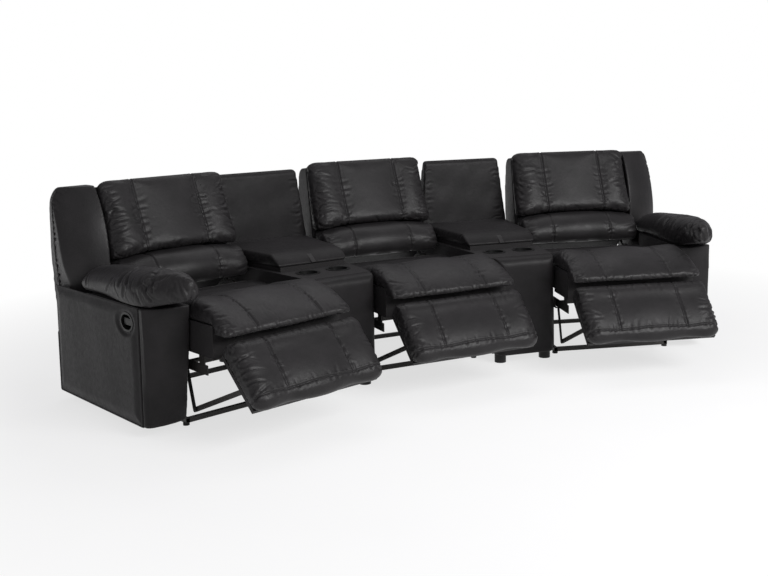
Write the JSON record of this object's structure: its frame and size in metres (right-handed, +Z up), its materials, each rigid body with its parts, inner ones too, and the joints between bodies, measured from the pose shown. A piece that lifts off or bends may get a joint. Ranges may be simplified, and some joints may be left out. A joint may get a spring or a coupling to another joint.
{
  "type": "reclining sofa",
  "caption": "Curved home-theatre sofa of upholstered recliners with fold-out footrests and reclining backs, joined by wedge consoles with cup holders and lidded storage.",
  "frame": {"origin": "centre of the bounding box at floor level", "axes": "+X to the right along the set seen from the front, +Z up, the front faces -Y"},
  "size_m": [3.4024, 1.6692, 1.0041],
  "materials": {
    "leather": "satin",
    "boards": "matte",
    "steel": "satin",
    "webbing": "matte",
    "black_plastic": "satin",
    "rubber": "matte"
  },
  "bodies": {
    "sofa_frame": {"base_frames": "steel", "floor_glides": "rubber", "back_posts": "steel", "side_ties": "steel", "arm_frames": "boards", "arm_fronts": "leather", "arm_pads": "leather", "release_cups": "black_plastic", "console_boxes": "boards", "console_fronts": "leather", "console_decks": "leather", "cup_holders": "black_plastic", "console_backs": "leather", "console_feet": "black_plastic"},
    "seat_left": {"seat_box_left": "boards", "seat_webbing_left": "webbing", "seat_cushion_left": "leather", "seat_carriage_left": "steel"},
    "drive_left": {"drive_links_left": "steel"},
    "push_left": {"push_links_left": "steel"},
    "footrest_left": {"footrest_board_left": "boards", "footrest_pad_left": "leather"},
    "back_left": {"back_shell_left": "leather", "back_plates_left": "steel", "head_pillow_left": "leather", "lumbar_cushion_left": "leather", "back_wing_left": "leather"},
    "seat_middle": {"seat_box_middle": "boards", "seat_webbing_middle": "webbing", "seat_cushion_middle": "leather", "seat_carriage_middle": "steel"},
    "drive_middle": {"drive_links_middle": "steel"},
    "push_middle": {"push_links_middle": "steel"},
    "footrest_middle": {"footrest_board_middle": "boards", "footrest_pad_middle": "leather"},
    "back_middle": {"back_shell_middle": "leather", "back_plates_middle": "steel", "head_pillow_middle": "leather", "lumbar_cushion_middle": "leather"},
    "seat_right": {"seat_box_right": "boards", "seat_webbing_right": "webbing", "seat_cushion_right": "leather", "seat_carriage_right": "steel"},
    "drive_right": {"drive_links_right": "steel"},
    "push_right": {"push_links_right": "steel"},
    "footrest_right": {"footrest_board_right": "boards", "footrest_pad_right": "leather"},
    "back_right": {"back_shell_right": "leather", "back_plates_right": "steel", "head_pillow_right": "leather", "lumbar_cushion_right": "leather", "back_wing_right": "leather"},
    "lever_left": {"release_lever_left": "black_plastic"},
    "lid_left": {"lid_base_left": "boards", "lid_pad_left": "leather"},
    "lever_right": {"release_lever_right": "black_plastic"},
    "lid_right": {"lid_base_right": "boards", "lid_pad_right": "leather"}
  },
  "joints": [
    {"name": "seat_slide_left", "type": "slide", "parent": "sofa_frame", "child": "seat_left", "axis": [-0.2807, 0.9598, 0], "range_m": [0, 0.17]},
    {"name": "footrest_swing_left", "type": "hinge", "parent": "seat_left", "child": "footrest_left", "pos_m": [-0.89329, -0.5499, 0.4295], "axis": [0.9598, 0.2807, 0], "range_deg": [0, 48]},
    {"name": "drive_link_left", "type": "hinge", "parent": "seat_left", "child": "drive_left", "pos_m": [-1.00247, -0.17653, 0.262], "axis": [0.9598, 0.2807, 0], "range_deg": [0, 48]},
    {"name": "push_link_left", "type": "hinge", "parent": "drive_left", "child": "push_left", "pos_m": [-0.98729, -0.22843, 0.06799], "axis": [-0.9598, -0.2807, 0], "range_deg": [0, 48]},
    {"name": "back_recline_left", "type": "hinge", "parent": "sofa_frame", "child": "back_left", "pos_m": [-1.14561, 0.31297, 0.44], "axis": [-0.9598, -0.2807, 0], "range_deg": [0, 30]},
    {"name": "seat_slide_middle", "type": "slide", "parent": "sofa_frame", "child": "seat_middle", "axis": [0, 1, 0], "range_m": [0, 0.17]},
    {"name": "footrest_swing_middle", "type": "hinge", "parent": "seat_middle", "child": "footrest_middle", "pos_m": [0, -0.34397, 0.4295], "axis": [1, 0, 0], "range_deg": [0, 48]},
    {"name": "drive_link_middle", "type": "hinge", "parent": "seat_middle", "child": "drive_middle", "pos_m": [0, 0.04503, 0.262], "axis": [1, 0, 0], "range_deg": [0, 48]},
    {"name": "push_link_middle", "type": "hinge", "parent": "drive_middle", "child": "push_middle", "pos_m": [0, -0.00904, 0.06799], "axis": [-1, 0, 0], "range_deg": [0, 48]},
    {"name": "back_recline_middle", "type": "hinge", "parent": "sofa_frame", "child": "back_middle", "pos_m": [0, 0.55503, 0.44], "axis": [-1, 0, 0], "range_deg": [0, 30]},
    {"name": "seat_slide_right", "type": "slide", "parent": "sofa_frame", "child": "seat_right", "axis": [0.2807, 0.9598, 0], "range_m": [0, 0.17]},
    {"name": "footrest_swing_right", "type": "hinge", "parent": "seat_right", "child": "footrest_right", "pos_m": [0.89329, -0.5499, 0.4295], "axis": [0.9598, -0.2807, 0], "range_deg": [0, 48]},
    {"name": "drive_link_right", "type": "hinge", "parent": "seat_right", "child": "drive_right", "pos_m": [1.00247, -0.17653, 0.262], "axis": [0.9598, -0.2807, 0], "range_deg": [0, 48]},
    {"name": "push_link_right", "type": "hinge", "parent": "drive_right", "child": "push_right", "pos_m": [0.98729, -0.22843, 0.06799], "axis": [-0.9598, 0.2807, 0], "range_deg": [0, 48]},
    {"name": "back_recline_right", "type": "hinge", "parent": "sofa_frame", "child": "back_right", "pos_m": [1.14561, 0.31297, 0.44], "axis": [-0.9598, 0.2807, 0], "range_deg": [0, 30]},
    {"name": "release_lever_left", "type": "hinge", "parent": "sofa_frame", "child": "lever_left", "pos_m": [-1.49442, -0.3006, 0.47], "axis": [0, 0, 1], "range_deg": [0, 40], "stiffness_Nm_per_rad": 0.4},
    {"name": "lid_hinge_left", "type": "hinge", "parent": "sofa_frame", "child": "lid_left", "pos_m": [-0.60432, 0.61509, 0.619], "axis": [-0.9899, -0.1418, 0], "range_deg": [0, 75]},
    {"name": "release_lever_right", "type": "hinge", "parent": "sofa_frame", "child": "lever_right", "pos_m": [1.49442, -0.3006, 0.47], "axis": [0, 0, -1], "range_deg": [0, 40], "stiffness_Nm_per_rad": 0.4},
    {"name": "lid_hinge_right", "type": "hinge", "parent": "sofa_frame", "child": "lid_right", "pos_m": [0.60432, 0.61509, 0.619], "axis": [-0.9899, 0.1418, 0], "range_deg": [0, 75]}
  ],
  "couplings": [
    {"joint": "footrest_swing_left", "follows": "seat_slide_left", "rad_per_m": 4.928},
    {"joint": "drive_link_left", "follows": "seat_slide_left", "rad_per_m": 4.928},
    {"joint": "push_link_left", "follows": "seat_slide_left", "rad_per_m": 4.928},
    {"joint": "footrest_swing_middle", "follows": "seat_slide_middle", "rad_per_m": 4.928},
    {"joint": "drive_link_middle", "follows": "seat_slide_middle", "rad_per_m": 4.928},
    {"joint": "push_link_middle", "follows": "seat_slide_middle", "rad_per_m": 4.928},
    {"joint": "footrest_swing_right", "follows": "seat_slide_right", "rad_per_m": 4.928},
    {"joint": "drive_link_right", "follows": "seat_slide_right", "rad_per_m": 4.928},
    {"joint": "push_link_right", "follows": "seat_slide_right", "rad_per_m": 4.928}
  ]
}
